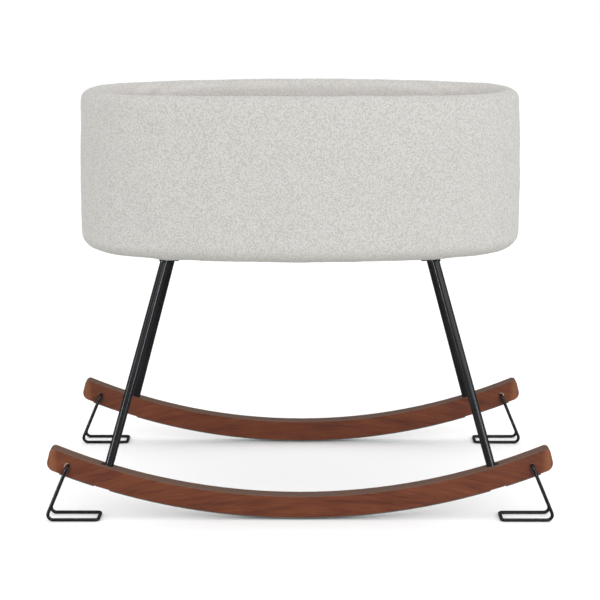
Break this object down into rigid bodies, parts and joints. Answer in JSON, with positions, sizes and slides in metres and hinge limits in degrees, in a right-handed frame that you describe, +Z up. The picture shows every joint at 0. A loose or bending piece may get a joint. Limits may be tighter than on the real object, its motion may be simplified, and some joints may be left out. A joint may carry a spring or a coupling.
{
  "type": "rocking bassinet on stand",
  "caption": "Oval padded baby basket on splayed metal legs and two curved wooden rockers, with fold-down wire kickstands that stop the rocking.",
  "frame": {"origin": "on the floor below the middle of the basket", "axes": "+X along the basket and rockers, +Y towards the rear rocker, +Z up"},
  "size_m": [0.9214, 0.5246, 0.7657],
  "materials": {
    "bed_cloth": "looped boucle, off-white",
    "lining_cloth": "looped boucle, off-white",
    "foam": "open-cell foam",
    "ply": "raw birch plywood",
    "walnut": "walnut-stained, satin lacquer",
    "glide": "matt anti-slip strip",
    "black_steel": "satin black powder coat",
    "zinc": "bright zinc plate",
    "black_oxide": "black oxide",
    "dust_cloth": "black spun-bond cloth",
    "ticking": "white cotton ticking"
  },
  "bodies": {
    "stand_and_basket": {"outer_cover": "bed_cloth", "outer_padding": "foam", "wall_ring": "ply", "inner_padding": "foam", "rim_roll": "foam", "inner_lining": "lining_cloth", "base_board": "ply", "dust_cover": "dust_cloth", "plate_screws": "black_oxide", "t_nuts": "zinc", "rocker_front": "walnut", "rocker_rear": "walnut", "foot_inserts": "zinc", "rocker_bolts": "black_oxide", "bolt_washers": "zinc", "locking_screws": "black_oxide", "glide_strip_front_middle": "glide", "glide_strip_front_left": "glide", "glide_strip_front_right": "glide", "glide_strip_rear_middle": "glide", "glide_strip_rear_left": "glide", "glide_strip_rear_right": "glide", "leg_front_left": "black_steel", "leg_plate_front_left": "black_steel", "leg_front_right": "black_steel", "leg_plate_front_right": "black_steel", "leg_rear_left": "black_steel", "leg_plate_rear_left": "black_steel", "leg_rear_right": "black_steel", "leg_plate_rear_right": "black_steel"},
    "mattress": {"mattress_cover": "ticking", "mattress_core": "foam"},
    "kickstand_front_left": {"kickstand_front_left": "black_steel"},
    "kickstand_front_right": {"kickstand_front_right": "black_steel"},
    "kickstand_rear_left": {"kickstand_rear_left": "black_steel"},
    "kickstand_rear_right": {"kickstand_rear_right": "black_steel"}
  },
  "joints": [
    {"name": "mattress_lift", "type": "slide", "parent": "stand_and_basket", "child": "mattress", "axis": [0, 0, 1], "range_m": [0, 0.32]},
    {"name": "kickstand_front_left_pivot", "type": "hinge", "parent": "stand_and_basket", "child": "kickstand_front_left", "pos_m": [-0.42, -0.2385, 0.10385], "axis": [0, 1, 0], "range_deg": [-30.5, 205]},
    {"name": "kickstand_front_right_pivot", "type": "hinge", "parent": "stand_and_basket", "child": "kickstand_front_right", "pos_m": [0.42, -0.2385, 0.10385], "axis": [0, -1, 0], "range_deg": [-30.5, 205]},
    {"name": "kickstand_rear_left_pivot", "type": "hinge", "parent": "stand_and_basket", "child": "kickstand_rear_left", "pos_m": [-0.42, 0.2385, 0.10385], "axis": [0, 1, 0], "range_deg": [-30.5, 205]},
    {"name": "kickstand_rear_right_pivot", "type": "hinge", "parent": "stand_and_basket", "child": "kickstand_rear_right", "pos_m": [0.42, 0.2385, 0.10385], "axis": [0, -1, 0], "range_deg": [-30.5, 205]}
  ]
}
